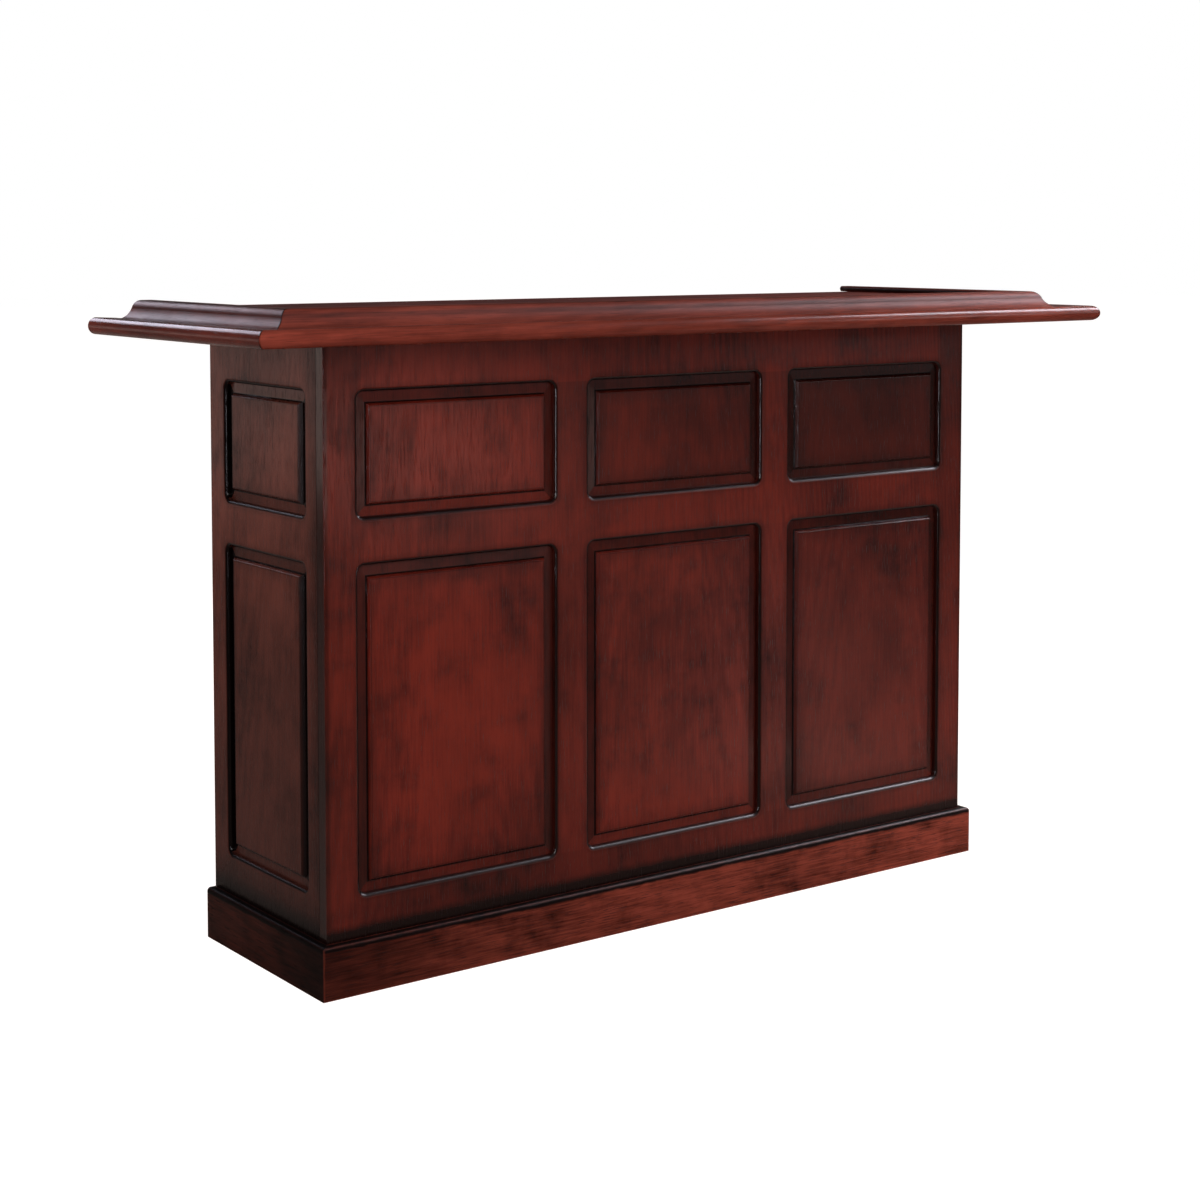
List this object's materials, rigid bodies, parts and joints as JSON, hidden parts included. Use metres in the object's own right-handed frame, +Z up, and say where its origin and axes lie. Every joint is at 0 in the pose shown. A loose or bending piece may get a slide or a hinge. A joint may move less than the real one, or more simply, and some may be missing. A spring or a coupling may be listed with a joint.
{
  "type": "home bar",
  "caption": "Free-standing panelled home bar with a moulded bar rail round an overhanging top, and drawers, doors, open shelves and a glass rack on the server's side.",
  "frame": {"origin": "on the floor, at the middle of the bar's outline seen from above", "axes": "+Z up, +X along the counter to the guests' right, -Y towards the guests, +Y towards the server"},
  "size_m": [1.755, 0.59, 1.067],
  "materials": {
    "rail_wood": "satin lacquer over a dark red-brown stain",
    "top_wood": "satin lacquer over a dark red-brown stain",
    "panel_wood": "satin lacquer over a dark red-brown stain",
    "frame_wood": "satin lacquer over a dark red-brown stain",
    "inside_wood": "dull lacquer",
    "brass": "aged",
    "steel": "zinc plated",
    "catch_plastic": "matte"
  },
  "bodies": {
    "root": {"bar_rail_front": "rail_wood", "bar_rail_left": "rail_wood", "bar_rail_right": "rail_wood", "bar_top": "top_wood", "cabinet_shelves": "inside_wood", "cleat_screws": "steel", "door_catches": "catch_plastic", "drawer_dividers": "inside_wood", "drawer_runners": "inside_wood", "floor_board": "inside_wood", "front_muntins": "frame_wood", "front_panel_lower_left": "panel_wood", "front_panel_lower_middle": "panel_wood", "front_panel_lower_right": "panel_wood", "front_panel_upper_left": "panel_wood", "front_panel_upper_middle": "panel_wood", "front_panel_upper_right": "panel_wood", "front_rail_bottom": "frame_wood", "front_rail_middle": "frame_wood", "front_rail_top": "frame_wood", "front_stile_left": "frame_wood", "front_stile_right": "frame_wood", "glass_rack": "inside_wood", "hinge_frame_leaves": "brass", "hinge_pins": "brass", "kick_board": "inside_wood", "left_end_panels": "panel_wood", "left_end_rails": "frame_wood", "left_end_stiles": "frame_wood", "middle_shelves": "inside_wood", "partition_left": "inside_wood", "partition_right": "inside_wood", "plinth_front": "frame_wood", "plinth_left": "frame_wood", "plinth_right": "frame_wood", "right_end_panels": "panel_wood", "right_end_rails": "frame_wood", "right_end_stiles": "frame_wood", "shelf_pins": "steel", "sub_top": "inside_wood", "top_cleats": "inside_wood"},
    "drawer_left": {"drawer_left_bottom": "inside_wood", "drawer_left_box": "inside_wood", "drawer_left_front": "frame_wood", "drawer_left_knob": "brass"},
    "drawer_right": {"drawer_right_bottom": "inside_wood", "drawer_right_box": "inside_wood", "drawer_right_front": "frame_wood", "drawer_right_knob": "brass"},
    "door_left": {"door_left_frame": "frame_wood", "door_left_hinge_leaves": "brass", "door_left_knob": "brass", "door_left_panel": "panel_wood", "door_left_strike_plate": "steel"},
    "door_right": {"door_right_frame": "frame_wood", "door_right_hinge_leaves": "brass", "door_right_knob": "brass", "door_right_panel": "panel_wood", "door_right_strike_plate": "steel"}
  },
  "joints": [
    {"name": "drawer_left_slide", "type": "slide", "parent": "root", "child": "drawer_left", "axis": [0, 1, 0], "range_m": [0, 0.25]},
    {"name": "drawer_right_slide", "type": "slide", "parent": "root", "child": "drawer_right", "axis": [0, 1, 0], "range_m": [0, 0.25]},
    {"name": "door_left_swing", "type": "hinge", "parent": "root", "child": "door_left", "pos_m": [-0.6608, 0.2552, 0.4685], "axis": [0, 0, 1], "range_deg": [0, 170]},
    {"name": "door_right_swing", "type": "hinge", "parent": "root", "child": "door_right", "pos_m": [0.6608, 0.2552, 0.4685], "axis": [0, 0, -1], "range_deg": [0, 170]}
  ]
}
